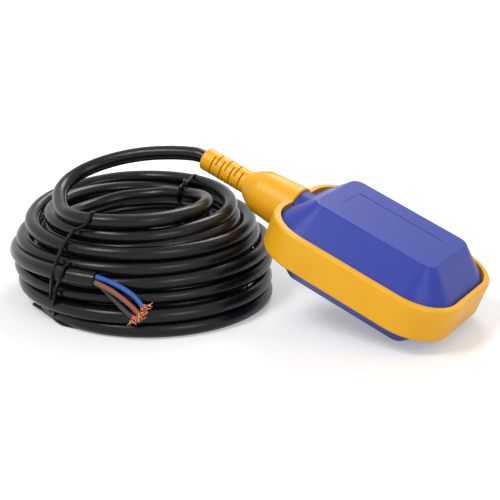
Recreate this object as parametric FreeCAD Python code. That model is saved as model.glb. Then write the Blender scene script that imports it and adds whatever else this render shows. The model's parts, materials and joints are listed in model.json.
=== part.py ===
import FreeCAD, Part

import math
import os

from FreeCAD import Placement, Rotation, Vector

# Cable float switch: a hollow float on a flexible cable. A steel ball inside rolls along a cage when the
# float tips, and presses the lever of a microswitch. The float lies on its nose edge with its neck raised,
# beside the coil of its own cable. Every size is in millimetres.

# Yellow frame: a rounded ring that the two shells sit in
FRAME_LENGTH = 105.0
FRAME_WIDTH = 83.0
FRAME_CORNER = 25.0
FRAME_HEIGHT = 18.0
FRAME_EDGE_ROUND = 1.4
LIP_WIDTH = 3.3
LEDGE_WIDTH = 5.0
LEDGE_HEIGHT = 7.0

# Neck and strain relief, one piece with the frame
NECK_BASE_RADIUS = 13.35
NECK_END_RADIUS = 11.7
NECK_LENGTH = 18.4
NECK_ARCH_ROUND = 1.0
SHOULDER_LENGTH = 9.4
SHOULDER_BULGE = 0.35
BOOT_RADIUS = 6.15
BOOT_LENGTH = 27.7
BOOT_END_ROUND = 1.0
NECK_CHAMBER_RADIUS = 8.0
NECK_PASSAGE_RADIUS = 4.2
GATE_DIMPLE_RADIUS = 2.4
GATE_DIMPLE_DEPTH = 0.9
GATE_DIMPLE_FROM_END = 0.4
SLOT_WIDTH = 0.8
SLOT_PITCH = 6.0
SIDE_SLOTS = 4
TOP_SLOTS = 3
TOP_SLOT_OFFSET = 2.5
SIDE_SLOT_ANGLE = 125.0
TOP_SLOT_ANGLE = 140.0
FIRST_SLOT_FROM_END = 6.9

# Blue shells, alike above and below
FLOAT_THICKNESS = 43.5
TOP_LENGTH = 68.0
TOP_WIDTH = 47.0
TOP_CORNER = 5.5
TOP_EDGE_ROUND = 1.4
SHELL_WALL = 2.4
SHELL_GAP = 0.25
SEAM_BELOW_LIP = 2.5
LUMP_BELOW_SEAM = 0.4
SEAL_THICKNESS = 1.2
NECK_LUMP_RADIUS = 12.0
PANEL_LENGTH = 50.0
PANEL_WIDTH = 20.5
PANEL_CORNER = 1.5
PANEL_DEPTH = 0.15
POST_RADIUS = 3.2

# Steel ball and its cage
BALL_RADIUS = 8.0
RUN_GAP = 0.3
CAGE_WALL = 2.0
CAGE_TO_LEDGE = 5.0
CAGE_PAST_LEVER = 6.4
CAGE_FLANGE = 2.0
CAGE_HALF_WIDTH = 20.0
BULKHEAD_THICKNESS = 2.0
TRAY_THICKNESS = 2.0
TRAY_TO_LEDGE = 1.0
FRONT_SCREW_FROM_NOSE = 11.2
COVER_SCREW_FROM_NECK = 4.0
REAR_SCREW_FROM_END = 15.2
SCREW_Y = 16.5
SCREW_SHANK_RADIUS = 1.1
SCREW_HEAD_RADIUS = 2.2
SCREW_HEAD_HEIGHT = 1.5
SCREW_GRIP = 6.0
COVER_SCREW_LENGTH = 4.5
SCREW_CLEARANCE = 0.05
SCREW_HOLE_EXTRA = 0.5
SCREW_CROSS_SHARE = 0.7

# Microswitch
SWITCH_LENGTH = 27.8
SWITCH_DEPTH = 15.9
SWITCH_THICKNESS = 10.3
SWITCH_WALL = 1.5
SWITCH_FLOOR = 1.25
SWITCH_COVER = 1.0
SWITCH_CAVITY_HALF = 8.5
SWITCH_SCREW_Y = 11.2
SWITCH_SCREW_FROM_REAR = 4.5
SWITCH_SCREW_RADIUS = 1.2
SWITCH_SCREW_HEAD_RADIUS = 2.2
SWITCH_SCREW_HEAD_HEIGHT = 1.3
LEVER_THICKNESS = 0.5
LEVER_WIDTH = 4.4
LEVER_PIN_Y = -10.8
LEVER_END_Y = 11.5
LEVER_PIN_RADIUS = 0.6
LEVER_CURL_WALL = 0.35
LEVER_SWING = 8.4
LUG_THICKNESS = 1.2
PIN_CLEARANCE = 0.05
PLUNGER_Y = -3.0
PLUNGER_RADIUS = 1.2
PLUNGER_COLLAR_RADIUS = 2.0
PLUNGER_COLLAR = 0.8
PLUNGER_STEM = 1.4
PLUNGER_TRAVEL = 1.0
TOUCH_GAP = 0.15
BLADE_THICKNESS = 0.3
BLADE_WIDTH = 4.0
BLADE_PIVOT_Y = -7.05
BLADE_END_Y = 6.6
BLADE_ROLL_RADIUS = 0.45
BLADE_SWING = 7.9
CONTACT_RADIUS = 1.0
RIVET_RADIUS = 0.6
CONTACT_Y = 5.6
TERMINAL_THICKNESS = 0.5
TERMINAL_WIDTH = 4.8
TERMINAL_LENGTH = 6.4
TERMINAL_HOLE_RADIUS = 0.8
TERMINAL_HOLE_FROM_END = 2.1
OPEN_TERMINAL_Y = 1.75

# Cable
CABLE_RADIUS = 3.5
CABLE_CLEARANCE = 0.06
CORE_RADIUS = 1.3
INNER_CORE_RADIUS = 1.2
INNER_CORE_CIRCLE = 1.75
INNER_CORE_STRAIGHT = 1.7
JACKET_PAST_CLAMP = 0.7
WIRE_ROOM = 7.5
CLAMP_LENGTH = 5.0
CLAMP_HALF_WIDTH = 9.2
CLAMP_WALL = 2.0
CLAMP_SCREW_Y = 7.3
CLAMP_SEAT_BELOW_AXIS = 1.5
CLAMP_SCREW_RADIUS = 0.9
CLAMP_SCREW_GRIP = 3.0
CLAMP_SCREW_HEAD_RADIUS = 1.7
CLAMP_SCREW_HEAD_HEIGHT = 1.2

# How far a cutter runs past the face it opens, and how near two heights count as one
CUT_PAST = 1.0
SAME_PLACE = 1e-4

# Pose: nose down, lying on the nose edge of the lower shell
FLOAT_PITCH = 20.9

# Coil of cable: one section each time its outline changes: height, centre x, centre y, outer radius
COIL_SECTIONS = [
    (0.0, -88.4, -33.0, 52.6),
    (3.6, -88.6, -32.6, 56.2),
    (10.7, -93.4, -28.5, 65.6),
    (17.7, -101.4, -21.2, 68.6),
    (24.8, -101.9, -21.2, 68.2),
    (31.9, -102.9, -23.8, 64.4),
    (39.0, -101.1, -24.0, 60.9),
    (48.0, -99.4, -27.5, 50.6),
    (53.0, -99.4, -36.0, 43.0),
    (56.6, -99.4, -37.0, 39.5),
]
COIL_BORE_BOTTOM = (-95.0, -33.0, 35.0)
COIL_BORE_TOP = (-96.4, -38.0, 32.0)

# Lead: from the boot over the back of the coil and down onto its top
ARC_SHARE = 0.45
LEAD_FIRST_RUN = 11.0
LEAD_ROUTE = [
    (-98.3, -2.4, 73.8),
    (-110.9, -6.8, 70.6),
    (-123.9, -13.6, 67.7),
    (-133.9, -23.8, 63.9),
    (-139.2, -36.0, 59.6),
    (-138.2, -48.5, 55.4),
    (-130.2, -58.8, 52.9),
]

# Tail: the last of the jacket, out of the coil's side along its front, and its three cores
TAIL_ROUTE = [
    (-144.7, -67.6, 25.5),
    (-136.1, -78.6, 27.6),
    (-124.9, -87.0, 29.6),
    (-111.0, -92.7, 30.6),
    (-95.9, -93.9, 30.4),
    (-81.9, -90.2, 29.5),
]
BLUE_CORE_ROUTE = [(-81.9, -90.2, 31.1), (-75.9, -86.9, 27.6), (-68.1, -83.3, 22.4), (-61.3, -81.3, 18.1)]
BROWN_CORE_ROUTE = [(-81.6, -91.7, 28.8), (-75.4, -89.2, 25.1), (-69.7, -85.2, 19.2), (-61.4, -84.4, 15.4)]
BLACK_CORE_ROUTE = [(-82.2, -88.9, 28.1), (-76.6, -87.2, 21.4), (-69.9, -86.5, 16.2), (-63.1, -87.2, 13.3)]
STRANDS_LENGTH = 5.5
STRANDS_RADIUS = 1.5

# Ties round the coil's section
TIE_THICKNESS = 0.9
TIE_WIDTH = 1.8
TIE_OFF_COIL = 0.2
FRONT_TIE_TOP_X = -87.4
FRONT_TIE_BOTTOM_X = -111.6
BACK_TIE_AZIMUTH = 62.0
BACK_TIE_CENTRE = (-99.4, -33.0)

# Sizes worked out from the ones above
LIP_TOP = FRAME_HEIGHT / 2
SEAM_Z = LIP_TOP - SEAM_BELOW_LIP
LEDGE_Z = LEDGE_HEIGHT / 2
SKIRT_Z = LEDGE_Z + SEAL_THICKNESS
SHELL_TOP_Z = FLOAT_THICKNESS / 2
RECESS_LENGTH = FRAME_LENGTH - 2 * LIP_WIDTH
RECESS_WIDTH = FRAME_WIDTH - 2 * LIP_WIDTH
RECESS_CORNER = FRAME_CORNER - LIP_WIDTH
SHELL_LENGTH = RECESS_LENGTH - 2 * SHELL_GAP
SHELL_WIDTH = RECESS_WIDTH - 2 * SHELL_GAP
SHELL_CORNER = RECESS_CORNER - SHELL_GAP
NECK_START_X = -RECESS_LENGTH / 2
NECK_FRAME_X = -FRAME_LENGTH / 2
NECK_END_X = NECK_FRAME_X - NECK_LENGTH
BOOT_START_X = NECK_END_X - SHOULDER_LENGTH
BOOT_END_X = BOOT_START_X - BOOT_LENGTH
CABLE_BORE = CABLE_RADIUS + CABLE_CLEARANCE
CAGE_BORE = BALL_RADIUS + RUN_GAP
CAGE_RADIUS = CAGE_BORE + CAGE_WALL
LEDGE_INNER_X = RECESS_LENGTH / 2 - LEDGE_WIDTH
CAGE_NOSE_X = LEDGE_INNER_X - CAGE_TO_LEDGE
CAGE_STOP_X = CAGE_NOSE_X - CAGE_WALL
BALL_REST_X = CAGE_STOP_X - RUN_GAP - BALL_RADIUS
TRAY_END_X = TRAY_TO_LEDGE - LEDGE_INNER_X
JACKET_END_X = TRAY_END_X + CLAMP_LENGTH + JACKET_PAST_CLAMP
TERMINAL_END_X = JACKET_END_X + WIRE_ROOM
SWITCH_REAR_X = TERMINAL_END_X + TERMINAL_LENGTH
SWITCH_FRONT_X = SWITCH_REAR_X + SWITCH_DEPTH
SWITCH_INNER_X = SWITCH_FRONT_X - SWITCH_WALL
CURL_RADIUS = LEVER_PIN_RADIUS + PIN_CLEARANCE + LEVER_CURL_WALL
PIN_X = SWITCH_FRONT_X + RUN_GAP + CURL_RADIUS
LEVER_FACE_X = PIN_X + CURL_RADIUS
LEVER_BACK_X = LEVER_FACE_X - LEVER_THICKNESS
BALL_TRAVEL = BALL_REST_X - BALL_RADIUS - RUN_GAP - LEVER_FACE_X
CAGE_NECK_X = LEVER_FACE_X + CAGE_PAST_LEVER
FRONT_SCREW_X = CAGE_NOSE_X - FRONT_SCREW_FROM_NOSE
COVER_SCREW_X = CAGE_NECK_X + COVER_SCREW_FROM_NECK
REAR_SCREW_X = TRAY_END_X + REAR_SCREW_FROM_END
TRAY_TOP_Z = -SWITCH_THICKNESS / 2
TRAY_BOTTOM_Z = TRAY_TOP_Z - TRAY_THICKNESS
SWITCH_SCREW_X = SWITCH_REAR_X + SWITCH_SCREW_FROM_REAR
COVER_SEAT_Z = SWITCH_THICKNESS / 2 - SWITCH_COVER
FLOOR_Z = -SHELL_TOP_Z + SHELL_WALL


def outline(length, width, corner, z):
    """A closed rectangle outline with round corners, centred on the z axis."""
    x = length / 2
    y = width / 2
    c = corner
    s = c * math.sin(math.radians(45))
    edges = []
    corners = [(x - c, y - c, 1, 1), (c - x, y - c, -1, 1), (c - x, c - y, -1, -1), (x - c, c - y, 1, -1)]
    arcs = []
    for i, (cx, cy, sx, sy) in enumerate(corners):
        side = Vector(cx + sx * c, cy, z)
        end = Vector(cx, cy + sy * c, z)
        first, last = (side, end) if i % 2 == 0 else (end, side)
        arcs.append((first, Vector(cx + sx * s, cy + sy * s, z), last))
    for i, (first, middle, last) in enumerate(arcs):
        edges.append(Part.Arc(first, middle, last).toShape())
        edges.append(Part.LineSegment(last, arcs[(i + 1) % 4][0]).toShape())
    return Part.Wire(edges)


def block(length, width, corner, bottom, top):
    """A round-cornered plate between two heights."""
    return Part.Face(outline(length, width, corner, bottom)).extrude(Vector(0, 0, top - bottom))


def box(x0, x1, y0, y1, z0, z1):
    """A box between two corners."""
    return Part.makeBox(x1 - x0, y1 - y0, z1 - z0, Vector(x0, y0, z0))


def rod(radius, start, end):
    """A round bar between two points."""
    start = Vector(*start)
    way = Vector(*end) - start
    return Part.makeCylinder(radius, way.Length, start, way)


def x_rod(radius, x0, x1):
    """A round bar along the float's long axis."""
    return rod(radius, (min(x0, x1), 0, 0), (max(x0, x1), 0, 0))


def edges_at(shape, height):
    """The edges that lie wholly at one height."""
    return [e for e in shape.Edges if all(abs(v.Z - height) < SAME_PLACE for v in e.Vertexes)]


def slot_ring(x, middle_angle, span):
    """The cutter for one slot through part of the boot, its middle at an angle from the top."""
    half = SLOT_WIDTH / 2
    profile = [
        Vector(x - half, CABLE_RADIUS, 0),
        Vector(x + half, CABLE_RADIUS, 0),
        Vector(x + half, BOOT_RADIUS + CUT_PAST, 0),
        Vector(x - half, BOOT_RADIUS + CUT_PAST, 0),
    ]
    face = Part.Face(Part.makePolygon(profile + [profile[0]]))
    axis = Vector(1, 0, 0)
    face.rotate(Vector(0, 0, 0), axis, 90 + middle_angle - span / 2)
    return face.revolve(Vector(0, 0, 0), axis, span)


def make_neck():
    """Neck, rounded shoulder and boot, as one turned body."""
    shoulder_mid = Vector(
        (NECK_END_X + BOOT_START_X) / 2 - SHOULDER_BULGE,
        (NECK_END_RADIUS + BOOT_RADIUS) / 2 + SHOULDER_BULGE,
        0,
    )
    first = Vector(NECK_START_X, 0, 0)
    arch_face = Vector(NECK_START_X, NECK_BASE_RADIUS - NECK_ARCH_ROUND, 0)
    arch_edge = Vector(NECK_START_X - NECK_ARCH_ROUND, NECK_BASE_RADIUS, 0)
    arch_bend = NECK_ARCH_ROUND * math.sin(math.radians(45))
    arch_mid = Vector(arch_edge.x + arch_bend, arch_face.y + arch_bend, 0)
    neck_end = Vector(NECK_END_X, NECK_END_RADIUS, 0)
    boot_start = Vector(BOOT_START_X, BOOT_RADIUS, 0)
    boot_edge = Vector(BOOT_END_X + BOOT_END_ROUND, BOOT_RADIUS, 0)
    boot_face = Vector(BOOT_END_X, BOOT_RADIUS - BOOT_END_ROUND, 0)
    last = Vector(BOOT_END_X, 0, 0)
    bend = BOOT_END_ROUND * math.sin(math.radians(45))
    round_mid = Vector(boot_edge.x - bend, boot_face.y + bend, 0)
    edges = [
        Part.LineSegment(first, arch_face).toShape(),
        Part.Arc(arch_face, arch_mid, arch_edge).toShape(),
        Part.LineSegment(arch_edge, neck_end).toShape(),
        Part.Arc(neck_end, shoulder_mid, boot_start).toShape(),
        Part.LineSegment(boot_start, boot_edge).toShape(),
        Part.Arc(boot_edge, round_mid, boot_face).toShape(),
        Part.LineSegment(boot_face, last).toShape(),
        Part.LineSegment(last, first).toShape(),
    ]
    neck = Part.Face(Part.Wire(edges)).revolve(Vector(0, 0, 0), Vector(1, 0, 0), 360)
    for i in range(SIDE_SLOTS):
        x = BOOT_END_X + FIRST_SLOT_FROM_END + i * SLOT_PITCH
        for side in (90, 270):
            neck = neck.cut(slot_ring(x, side, SIDE_SLOT_ANGLE))
    for i in range(TOP_SLOTS):
        x = BOOT_END_X + FIRST_SLOT_FROM_END + TOP_SLOT_OFFSET + i * SLOT_PITCH
        for side in (0, 180):
            neck = neck.cut(slot_ring(x, side, TOP_SLOT_ANGLE))
    dimple_x = NECK_END_X + GATE_DIMPLE_FROM_END
    dimple_z = NECK_END_RADIUS + GATE_DIMPLE_RADIUS - GATE_DIMPLE_DEPTH
    return neck.cut(Part.makeSphere(GATE_DIMPLE_RADIUS, Vector(dimple_x, 0, dimple_z)))


def make_frame():
    """The yellow ring with its ledge, neck and slotted strain relief."""
    ring = block(FRAME_LENGTH, FRAME_WIDTH, FRAME_CORNER, -LIP_TOP, LIP_TOP)
    ring = ring.makeFillet(FRAME_EDGE_ROUND, edges_at(ring, LIP_TOP) + edges_at(ring, -LIP_TOP))
    frame = ring.fuse(make_neck())
    for side in (1, -1):
        low, high = sorted((side * LEDGE_Z, side * SHELL_TOP_Z))
        frame = frame.cut(block(RECESS_LENGTH, RECESS_WIDTH, RECESS_CORNER, low, high))
    ledges = 2 * LEDGE_WIDTH
    inner_corner = RECESS_CORNER - LEDGE_WIDTH
    frame = frame.cut(block(RECESS_LENGTH - ledges, RECESS_WIDTH - ledges, inner_corner, -LIP_TOP, LIP_TOP))
    frame = frame.cut(x_rod(NECK_CHAMBER_RADIUS, NECK_END_X, NECK_FRAME_X))
    frame = frame.cut(x_rod(NECK_PASSAGE_RADIUS, NECK_FRAME_X, -FRAME_LENGTH / 4))
    frame = frame.cut(x_rod(CABLE_BORE, BOOT_END_X, NECK_END_X))
    return frame.removeSplitter()


def slope(length, width, corner, bottom, top_length, top_width, top_corner, top):
    """The tapered part of a shell, between two outlines."""
    return Part.makeLoft(
        [outline(length, width, corner, bottom), outline(top_length, top_width, top_corner, top)], True, True
    )


def make_shell():
    """The upper shell, hollow, with its skirt, sloping sides, panel and neck lump."""
    skirt = block(SHELL_LENGTH, SHELL_WIDTH, SHELL_CORNER, SKIRT_Z, SEAM_Z)
    cap = slope(
        SHELL_LENGTH, SHELL_WIDTH, SHELL_CORNER, SEAM_Z, TOP_LENGTH, TOP_WIDTH, TOP_CORNER, SHELL_TOP_Z
    )
    cap = cap.makeFillet(TOP_EDGE_ROUND, edges_at(cap, SHELL_TOP_Z))
    lump = x_rod(NECK_LUMP_RADIUS, -SHELL_LENGTH / 2, -TOP_LENGTH / 2)
    lump_foot_z = SEAM_Z - LUMP_BELOW_SEAM
    lump = lump.common(box(-SHELL_LENGTH, 0, -SHELL_WIDTH, SHELL_WIDTH, lump_foot_z, SHELL_TOP_Z))
    outer = skirt.fuse(cap).fuse(lump)
    rise = SHELL_TOP_Z - SEAM_Z
    run = (SHELL_LENGTH - TOP_LENGTH) / 2
    wall_across = SHELL_WALL * math.hypot(rise, run) / rise
    inner_top_z = SHELL_TOP_Z - SHELL_WALL
    top_share = (inner_top_z - SEAM_Z) / rise
    inner_top = 2 * (wall_across + top_share * run)
    start_z = SEAM_Z - (wall_across - SHELL_WALL) * rise / run
    cavity = block(
        SHELL_LENGTH - 2 * SHELL_WALL, SHELL_WIDTH - 2 * SHELL_WALL, SHELL_CORNER - SHELL_WALL, SKIRT_Z, start_z
    )
    cavity = cavity.fuse(
        slope(
            SHELL_LENGTH - 2 * SHELL_WALL,
            SHELL_WIDTH - 2 * SHELL_WALL,
            SHELL_CORNER - SHELL_WALL,
            start_z,
            SHELL_LENGTH - inner_top,
            SHELL_WIDTH - inner_top,
            TOP_CORNER,
            inner_top_z,
        )
    )
    panel = block(PANEL_LENGTH, PANEL_WIDTH, PANEL_CORNER, SHELL_TOP_Z - PANEL_DEPTH, SHELL_TOP_Z + CUT_PAST)
    return outer.cut(cavity).cut(panel).removeSplitter()


def post_places():
    """Where the lower shell's four screw posts stand, with the height of what each one carries."""
    places = []
    for y in (-SCREW_Y, SCREW_Y):
        places.append((FRONT_SCREW_X, y, -CAGE_FLANGE))
        places.append((REAR_SCREW_X, y, TRAY_BOTTOM_Z))
    return places


def make_lower_shell(shell):
    """The lower shell: the upper one turned over, with four screw posts for the cage."""
    lower = shell.copy()
    lower.rotate(Vector(0, 0, 0), Vector(1, 0, 0), 180)
    for x, y, top in post_places():
        lower = lower.fuse(rod(POST_RADIUS, (x, y, FLOOR_Z - SHELL_WALL / 2), (x, y, top)))
    for x, y, top in post_places():
        lower = lower.cut(clearance_hole(x, y, top - SCREW_GRIP - SCREW_HOLE_EXTRA, top))
    return lower.removeSplitter()


def make_seal():
    """The flat ring between the frame's ledge and the upper shell's skirt."""
    outer = block(SHELL_LENGTH, SHELL_WIDTH, SHELL_CORNER, LEDGE_Z, SKIRT_Z)
    inside = 2 * SHELL_WALL
    return outer.cut(
        block(SHELL_LENGTH - inside, SHELL_WIDTH - inside, SHELL_CORNER - SHELL_WALL, LEDGE_Z, SKIRT_Z)
    )


def screw(x, y, seat, shank_end, shank_radius, head_radius, head_height):
    """A cross-slotted pan-head screw standing along z, its head above the seat."""
    head = rod(head_radius, (x, y, seat), (x, y, seat + head_height))
    head = head.makeFillet(head_height / 3, edges_at(head, seat + head_height))
    slot_half = head_radius / 6
    slot_reach = head_radius * SCREW_CROSS_SHARE
    slot_floor = seat + head_height / 2
    for a, b in ((slot_reach, slot_half), (slot_half, slot_reach)):
        head = head.cut(box(x - a, x + a, y - b, y + b, slot_floor, seat + head_height + CUT_PAST))
    return head.fuse(rod(shank_radius, (x, y, shank_end), (x, y, seat)))


def clearance_hole(x, y, bottom, top):
    """The hole for one cage screw."""
    return rod(SCREW_SHANK_RADIUS + SCREW_CLEARANCE, (x, y, bottom), (x, y, top))


def cage_tube(half):
    """Half of the ball's tube with its nose wall and flange: half is 1 above the split and -1 below."""
    low, high = sorted((0, half * CAGE_RADIUS))
    tube = x_rod(CAGE_RADIUS, CAGE_NECK_X, CAGE_NOSE_X)
    tube = tube.common(box(CAGE_NECK_X, CAGE_NOSE_X, -CAGE_RADIUS, CAGE_RADIUS, low, high))
    low, high = sorted((0, half * CAGE_FLANGE))
    return tube.fuse(box(CAGE_NECK_X, CAGE_NOSE_X, -CAGE_HALF_WIDTH, CAGE_HALF_WIDTH, low, high))


def make_cage_base():
    """The cage's lower half, with the tray that carries the switch and the cable clamp's seat."""
    base = cage_tube(-1)
    bulkhead_end = CAGE_NECK_X + BULKHEAD_THICKNESS
    base = base.fuse(
        box(TRAY_END_X, bulkhead_end, -CAGE_HALF_WIDTH, CAGE_HALF_WIDTH, TRAY_BOTTOM_Z, TRAY_TOP_Z)
    )
    base = base.fuse(box(CAGE_NECK_X, bulkhead_end, -CAGE_HALF_WIDTH, CAGE_HALF_WIDTH, TRAY_BOTTOM_Z, 0))
    clamp_end = TRAY_END_X + CLAMP_LENGTH
    seat = box(
        TRAY_END_X, clamp_end, -CLAMP_HALF_WIDTH, CLAMP_HALF_WIDTH, TRAY_TOP_Z, -CLAMP_SEAT_BELOW_AXIS
    )
    base = base.fuse(seat).cut(x_rod(CABLE_BORE, TRAY_END_X, clamp_end))
    base = base.cut(x_rod(CAGE_BORE, LEVER_FACE_X, CAGE_STOP_X))
    for y in (-SCREW_Y, SCREW_Y):
        base = base.cut(clearance_hole(FRONT_SCREW_X, y, -CAGE_FLANGE, 0))
        base = base.cut(clearance_hole(COVER_SCREW_X, y, -CAGE_FLANGE, 0))
        base = base.cut(clearance_hole(REAR_SCREW_X, y, TRAY_BOTTOM_Z, TRAY_TOP_Z))
    for y in (-SWITCH_SCREW_Y, SWITCH_SCREW_Y):
        hole = SWITCH_SCREW_RADIUS + SCREW_CLEARANCE
        base = base.cut(rod(hole, (SWITCH_SCREW_X, y, TRAY_BOTTOM_Z), (SWITCH_SCREW_X, y, TRAY_TOP_Z)))
    for y in (-CLAMP_SCREW_Y, CLAMP_SCREW_Y):
        hole = CLAMP_SCREW_RADIUS + SCREW_CLEARANCE
        x = TRAY_END_X + CLAMP_LENGTH / 2
        low = -CLAMP_SEAT_BELOW_AXIS - CLAMP_SCREW_GRIP - SCREW_HOLE_EXTRA
        base = base.cut(rod(hole, (x, y, low), (x, y, 0)))
    return base.removeSplitter()


def make_cage_cover():
    """The cage's upper half."""
    cover = cage_tube(1).cut(x_rod(CAGE_BORE, CAGE_NECK_X, CAGE_STOP_X))
    for y in (-SCREW_Y, SCREW_Y):
        for x in (FRONT_SCREW_X, COVER_SCREW_X):
            cover = cover.cut(clearance_hole(x, y, 0, CAGE_FLANGE))
    return cover.removeSplitter()


def make_cage_screws():
    """Four screws into the lower shell's posts: two through both halves of the cage, two through the tray."""
    screws = []
    for x, y, top in post_places():
        seat = CAGE_FLANGE if top == -CAGE_FLANGE else TRAY_TOP_Z
        screws.append(
            screw(x, y, seat, top - SCREW_GRIP, SCREW_SHANK_RADIUS, SCREW_HEAD_RADIUS, SCREW_HEAD_HEIGHT)
        )
    return Part.makeCompound(screws)


def make_cover_screws():
    """Two short screws that close the cage at its neck end."""
    screws = []
    for y in (-SCREW_Y, SCREW_Y):
        end = CAGE_FLANGE - COVER_SCREW_LENGTH
        screws.append(
            screw(
                COVER_SCREW_X, y, CAGE_FLANGE, end, SCREW_SHANK_RADIUS, SCREW_HEAD_RADIUS, SCREW_HEAD_HEIGHT
            )
        )
    return Part.makeCompound(screws)


def make_switch_case():
    """The microswitch's case: a tray open at the top, with lugs for the lever's pin."""
    half = SWITCH_LENGTH / 2
    case = box(SWITCH_REAR_X, SWITCH_FRONT_X, -half, half, TRAY_TOP_Z, COVER_SEAT_Z)
    inner_rear = SWITCH_REAR_X + SWITCH_WALL
    floor = TRAY_TOP_Z + SWITCH_FLOOR
    case = case.cut(
        box(inner_rear, SWITCH_INNER_X, -SWITCH_CAVITY_HALF, SWITCH_CAVITY_HALF, floor, COVER_SEAT_Z)
    )
    lug_inside = LEVER_WIDTH / 2 + PIN_CLEARANCE + TOUCH_GAP
    for side in (1, -1):
        low, high = sorted((side * lug_inside, side * (lug_inside + LUG_THICKNESS)))
        lug = rod(CURL_RADIUS + LEVER_CURL_WALL, (PIN_X, LEVER_PIN_Y, low), (PIN_X, LEVER_PIN_Y, high))
        reach = CURL_RADIUS + LEVER_CURL_WALL
        foot = box(SWITCH_FRONT_X, PIN_X, LEVER_PIN_Y - reach, LEVER_PIN_Y + reach, low, high)
        case = case.fuse(lug).fuse(foot)
    pin_reach = lug_inside + LUG_THICKNESS
    case = case.cut(
        rod(LEVER_PIN_RADIUS, (PIN_X, LEVER_PIN_Y, -pin_reach), (PIN_X, LEVER_PIN_Y, pin_reach))
    )
    hole = PLUNGER_RADIUS + PIN_CLEARANCE
    case = case.cut(rod(hole, (SWITCH_INNER_X, PLUNGER_Y, 0), (SWITCH_FRONT_X, PLUNGER_Y, 0)))
    for y in (BLADE_PIVOT_Y, OPEN_TERMINAL_Y, closed_terminal_y()):
        slot = TERMINAL_THICKNESS / 2 + SCREW_CLEARANCE
        height = TERMINAL_WIDTH / 2 + SCREW_CLEARANCE
        case = case.cut(box(SWITCH_REAR_X, inner_rear, y - slot, y + slot, -height, height))
    for y in (-SWITCH_SCREW_Y, SWITCH_SCREW_Y):
        hole = SWITCH_SCREW_RADIUS + SCREW_CLEARANCE
        case = case.cut(rod(hole, (SWITCH_SCREW_X, y, TRAY_TOP_Z), (SWITCH_SCREW_X, y, COVER_SEAT_Z)))
    return case.removeSplitter()


def make_switch_cover():
    """The plate that closes the microswitch."""
    half = SWITCH_LENGTH / 2
    cover = box(SWITCH_REAR_X, SWITCH_FRONT_X, -half, half, COVER_SEAT_Z, COVER_SEAT_Z + SWITCH_COVER)
    for y in (-SWITCH_SCREW_Y, SWITCH_SCREW_Y):
        hole = SWITCH_SCREW_RADIUS + SCREW_CLEARANCE
        top = COVER_SEAT_Z + SWITCH_COVER
        cover = cover.cut(rod(hole, (SWITCH_SCREW_X, y, COVER_SEAT_Z), (SWITCH_SCREW_X, y, top)))
    return cover


def make_switch_screws():
    """Two screws that hold the microswitch on the tray."""
    screws = []
    for y in (-SWITCH_SCREW_Y, SWITCH_SCREW_Y):
        seat = COVER_SEAT_Z + SWITCH_COVER
        screws.append(
            screw(
                SWITCH_SCREW_X,
                y,
                seat,
                TRAY_BOTTOM_Z,
                SWITCH_SCREW_RADIUS,
                SWITCH_SCREW_HEAD_RADIUS,
                SWITCH_SCREW_HEAD_HEIGHT,
            )
        )
    return Part.makeCompound(screws)


def make_lever():
    """The lever strip curled round its pin, swung out towards the ball."""
    half = LEVER_WIDTH / 2
    strip = box(LEVER_BACK_X, LEVER_FACE_X, LEVER_PIN_Y, LEVER_END_Y, -half, half)
    curl = rod(CURL_RADIUS, (PIN_X, LEVER_PIN_Y, -half), (PIN_X, LEVER_PIN_Y, half))
    bore = rod(LEVER_PIN_RADIUS + PIN_CLEARANCE, (PIN_X, LEVER_PIN_Y, -half), (PIN_X, LEVER_PIN_Y, half))
    lever = strip.fuse(curl).cut(bore).removeSplitter()
    lever.rotate(Vector(PIN_X, LEVER_PIN_Y, 0), Vector(0, 0, 1), -LEVER_SWING)
    return lever


def make_lever_pin():
    """The lever's pin, held in the case's lugs."""
    reach = LEVER_WIDTH / 2 + PIN_CLEARANCE + TOUCH_GAP + LUG_THICKNESS
    return rod(LEVER_PIN_RADIUS, (PIN_X, LEVER_PIN_Y, -reach), (PIN_X, LEVER_PIN_Y, reach))


def plunger_tip_x():
    """Where the released plunger's tip is, just behind the pressed lever plus its own travel."""
    return LEVER_BACK_X - TOUCH_GAP + PLUNGER_TRAVEL


def plunger_end_x():
    """Where the released plunger's inner end is."""
    return SWITCH_INNER_X - TOUCH_GAP - PLUNGER_COLLAR - PLUNGER_STEM


def make_plunger():
    """The plunger, with the collar that keeps it in the case."""
    collar_front = SWITCH_INNER_X - TOUCH_GAP
    stem = rod(PLUNGER_RADIUS, (plunger_end_x(), PLUNGER_Y, 0), (plunger_tip_x(), PLUNGER_Y, 0))
    tip = [e for e in stem.Edges if all(abs(v.X - plunger_tip_x()) < SAME_PLACE for v in e.Vertexes)]
    stem = stem.makeFillet(PLUNGER_RADIUS / 2, tip)
    collar = rod(
        PLUNGER_COLLAR_RADIUS, (collar_front - PLUNGER_COLLAR, PLUNGER_Y, 0), (collar_front, PLUNGER_Y, 0)
    )
    return stem.fuse(collar).removeSplitter()


def blade_face_x():
    """The front face of the released contact blade, clear of the plunger at both ends of its travel."""
    arm = PLUNGER_Y - BLADE_PIVOT_Y
    blade_moves = arm * math.sin(math.radians(BLADE_SWING))
    return plunger_end_x() - TOUCH_GAP - max(0.0, PLUNGER_TRAVEL - blade_moves)


def blade_pivot_x():
    """The middle of the blade's rolled root, which it turns about in front of the common terminal."""
    return blade_face_x() - BLADE_THICKNESS / 2


def front_contact_x():
    """The front face of the blade's contact rivet."""
    return blade_face_x() + BLADE_THICKNESS


def closed_terminal_y():
    """The normally closed terminal stands just past the blade's end."""
    return BLADE_END_Y + TOUCH_GAP + TERMINAL_THICKNESS / 2 + RUN_GAP


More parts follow.
